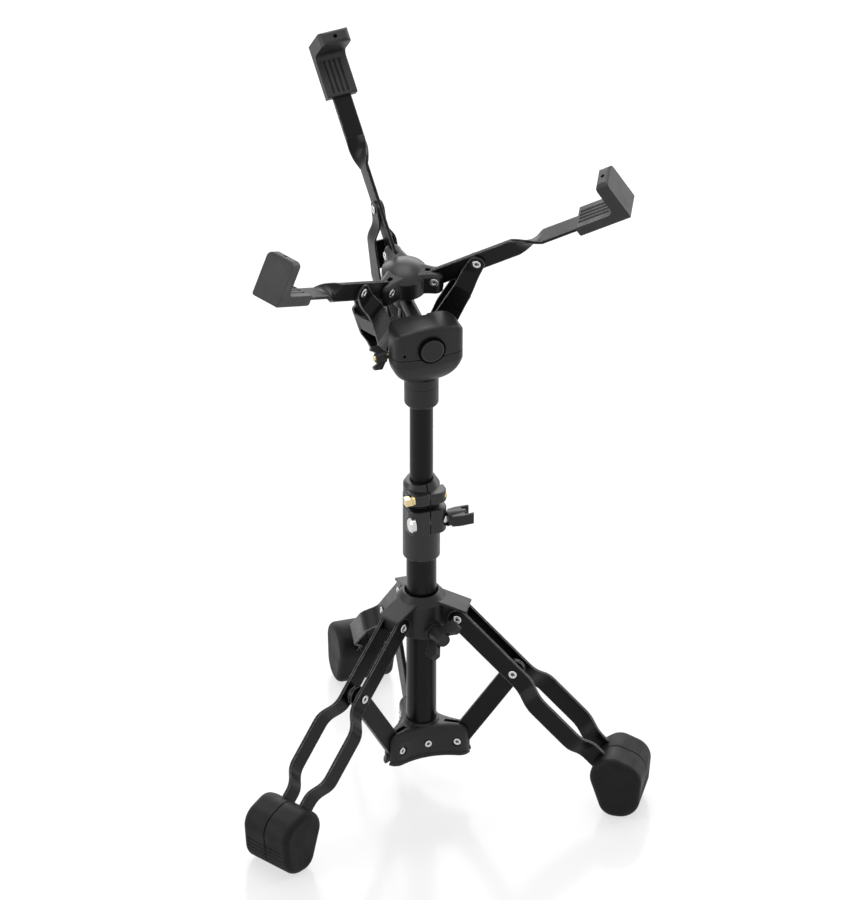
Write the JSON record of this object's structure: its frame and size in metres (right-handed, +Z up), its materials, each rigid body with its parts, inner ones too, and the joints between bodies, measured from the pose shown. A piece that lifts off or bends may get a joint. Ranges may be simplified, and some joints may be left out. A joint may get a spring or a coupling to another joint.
{
  "type": "snare drum stand",
  "caption": "Folding drum stand: braced tripod with rubber feet, telescoping column, ball tilter and a three-armed basket with rubber claws that grips a drum.",
  "frame": {"origin": "on the floor, on the axis of the column", "axes": "+Z up the column; the legs and the arms point about along 90, 210 and 330 degrees about +Z, and the tilter's front disc faces -Y"},
  "size_m": [0.4032, 0.363, 0.7184],
  "materials": {
    "black_steel": "satin black coat",
    "black_casting": "fine-textured black coat",
    "black_plastic": "moulded, satin",
    "zinc": "bright zinc plate",
    "brass": "plated, slightly dull",
    "rubber": "moulded, matte"
  },
  "bodies": {
    "base": {"lower_tube": "black_steel", "brace_collar": "black_plastic", "brace_pins": "zinc", "collar_rivet": "zinc", "height_clamp": "black_casting", "clamp_bush": "black_plastic", "clamp_bolt": "zinc"},
    "clamp_wing": {"clamp_wing_nut": "black_casting"},
    "hub": {"leg_hub": "black_casting", "hub_rivets": "zinc"},
    "hub_screw": {"hub_wing_screw": "black_casting"},
    "lock": {"memory_lock": "black_casting"},
    "lock_key": {"key_bolt": "brass"},
    "mast": {"upper_tube": "black_steel", "tilter_base": "black_plastic", "tilter_cap": "black_plastic", "tilter_disc": "black_plastic", "tilter_bolt": "brass"},
    "tilter_wing": {"tilter_wing_nut": "black_casting"},
    "ball_cup": {"ball_liner": "black_plastic"},
    "basket": {"ball_stem": "black_casting", "basket_rod": "black_steel", "basket_spider": "black_casting", "spider_rivets": "zinc"},
    "slider": {"basket_slider": "black_casting", "slider_pins": "zinc"},
    "nut": {"basket_nut": "black_plastic"},
    "leg_1": {"leg_1_strap_left": "black_steel", "leg_1_strap_right": "black_steel", "leg_1_rivet": "zinc", "leg_1_bushes": "zinc", "leg_1_foot": "rubber"},
    "brace_1": {"brace_1": "black_steel"},
    "arm_1": {"arm_1": "black_steel", "claw_1": "rubber"},
    "link_1": {"link_1": "black_steel", "link_1_rivet": "zinc"},
    "leg_2": {"leg_2_strap_left": "black_steel", "leg_2_strap_right": "black_steel", "leg_2_rivet": "zinc", "leg_2_bushes": "zinc", "leg_2_foot": "rubber"},
    "brace_2": {"brace_2": "black_steel"},
    "arm_2": {"arm_2": "black_steel", "claw_2": "rubber"},
    "link_2": {"link_2": "black_steel", "link_2_rivet": "zinc"},
    "leg_3": {"leg_3_strap_left": "black_steel", "leg_3_strap_right": "black_steel", "leg_3_rivet": "zinc", "leg_3_bushes": "zinc", "leg_3_foot": "rubber"},
    "brace_3": {"brace_3": "black_steel"},
    "arm_3": {"arm_3": "black_steel", "claw_3": "rubber"},
    "link_3": {"link_3": "black_steel", "link_3_rivet": "zinc"}
  },
  "joints": [
    {"name": "hub_slide", "type": "slide", "parent": "base", "child": "hub", "axis": [0, 0, 1], "range_m": [0, 0.036]},
    {"name": "hub_screw_turn", "type": "hinge", "parent": "hub", "child": "hub_screw", "pos_m": [0.00379, -0.02875, 0.181], "axis": [0.1305, -0.9914, 0], "continuous": true},
    {"name": "clamp_wing_turn", "type": "hinge", "parent": "base", "child": "clamp_wing", "pos_m": [0.0175, -0.02, 0.299], "axis": [1, 0, 0], "continuous": true},
    {"name": "height_slide", "type": "slide", "parent": "base", "child": "lock", "axis": [0, 0, 1], "range_m": [0, 0.12]},
    {"name": "lock_key_turn", "type": "hinge", "parent": "lock", "child": "lock_key", "pos_m": [-0.0145, -0.02, 0.32555], "axis": [-1, 0, 0], "continuous": true},
    {"name": "mast_swivel", "type": "hinge", "parent": "lock", "child": "mast", "pos_m": [0, 0, 0.32], "axis": [0, 0, 1], "continuous": true},
    {"name": "tilter_wing_turn", "type": "hinge", "parent": "mast", "child": "tilter_wing", "pos_m": [-0.0345, 0.002, 0.4735], "axis": [-1, 0, 0], "continuous": true},
    {"name": "basket_tilt", "type": "hinge", "parent": "mast", "child": "ball_cup", "pos_m": [0, -0.004, 0.496], "axis": [1, 0, 0], "range_deg": [-10, 15]},
    {"name": "basket_lean", "type": "hinge", "parent": "ball_cup", "child": "basket", "pos_m": [0, -0.004, 0.496], "axis": [0, 0.9778, 0.2096], "range_deg": [-10, 12]},
    {"name": "basket_slide", "type": "slide", "parent": "basket", "child": "slider", "axis": [-0.0523, -0.2093, 0.9764], "range_m": [0, 0.01298]},
    {"name": "basket_nut_turn", "type": "hinge", "parent": "slider", "child": "nut", "pos_m": [0.00221, 0.05668, 0.46582], "axis": [-0.0523, -0.2093, 0.9764], "continuous": true},
    {"name": "leg_1_fold", "type": "hinge", "parent": "hub", "child": "leg_1", "pos_m": [0.00161, 0.03696, 0.191], "axis": [-0.999, 0.0436, 0], "range_deg": [0, 34.5]},
    {"name": "brace_1_fold", "type": "hinge", "parent": "leg_1", "child": "brace_1", "pos_m": [0.00397, 0.09094, 0.13698], "axis": [-0.999, 0.0436, 0], "range_deg": [-59.24, 0]},
    {"name": "arm_1_swing", "type": "hinge", "parent": "basket", "child": "arm_1", "pos_m": [-0.00275, 0.07017, 0.54013], "axis": [-0.9976, -0.0334, -0.0606], "range_deg": [-46.1, 0]},
    {"name": "link_1_swing", "type": "hinge", "parent": "slider", "child": "link_1", "pos_m": [0.0009, 0.08502, 0.47182], "axis": [-0.9976, -0.0334, -0.0606], "range_deg": [-17.24, 0]},
    {"name": "leg_2_fold", "type": "hinge", "parent": "hub", "child": "leg_2", "pos_m": [-0.03282, -0.01708, 0.191], "axis": [0.4617, -0.887, 0], "range_deg": [0, 34.5]},
    {"name": "brace_2_fold", "type": "hinge", "parent": "leg_2", "child": "brace_2", "pos_m": [-0.08074, -0.04203, 0.13698], "axis": [0.4617, -0.887, 0], "range_deg": [-59.24, 0]},
    {"name": "arm_2_swing", "type": "hinge", "parent": "basket", "child": "arm_2", "pos_m": [-0.02568, 0.02712, 0.52967], "axis": [0.538, -0.8296, -0.149], "range_deg": [-46.1, 0]},
    {"name": "link_2_swing", "type": "hinge", "parent": "slider", "child": "link_2", "pos_m": [-0.02218, 0.04167, 0.46129], "axis": [0.538, -0.8296, -0.149], "range_deg": [-17.24, 0]},
    {"name": "leg_3_fold", "type": "hinge", "parent": "hub", "child": "leg_3", "pos_m": [0.03121, -0.01988, 0.191], "axis": [0.5373, 0.8434, 0], "range_deg": [0, 34.5]},
    {"name": "brace_3_fold", "type": "hinge", "parent": "leg_3", "child": "brace_3", "pos_m": [0.07677, -0.04891, 0.13698], "axis": [0.5373, 0.8434, 0], "range_deg": [-59.24, 0]},
    {"name": "arm_3_swing", "type": "hinge", "parent": "basket", "child": "arm_3", "pos_m": [0.02408, 0.02878, 0.53269], "axis": [0.4596, 0.863, 0.2097], "range_deg": [-46.1, 0]},
    {"name": "link_3_swing", "type": "hinge", "parent": "slider", "child": "link_3", "pos_m": [0.02792, 0.04334, 0.46434], "axis": [0.4596, 0.863, 0.2097], "range_deg": [-17.24, 0]}
  ],
  "couplings": [
    {"joint": "leg_1_fold", "follows": "hub_slide", "rad_per_m": 16.727},
    {"joint": "brace_1_fold", "follows": "hub_slide", "rad_per_m": -28.721},
    {"joint": "arm_1_swing", "follows": "basket_slide", "rad_per_m": -62.006},
    {"joint": "link_1_swing", "follows": "basket_slide", "rad_per_m": -23.191},
    {"joint": "leg_2_fold", "follows": "hub_slide", "rad_per_m": 16.727},
    {"joint": "brace_2_fold", "follows": "hub_slide", "rad_per_m": -28.721},
    {"joint": "arm_2_swing", "follows": "basket_slide", "rad_per_m": -62.006},
    {"joint": "link_2_swing", "follows": "basket_slide", "rad_per_m": -23.191},
    {"joint": "leg_3_fold", "follows": "hub_slide", "rad_per_m": 16.727},
    {"joint": "brace_3_fold", "follows": "hub_slide", "rad_per_m": -28.721},
    {"joint": "arm_3_swing", "follows": "basket_slide", "rad_per_m": -62.006},
    {"joint": "link_3_swing", "follows": "basket_slide", "rad_per_m": -23.191}
  ]
}
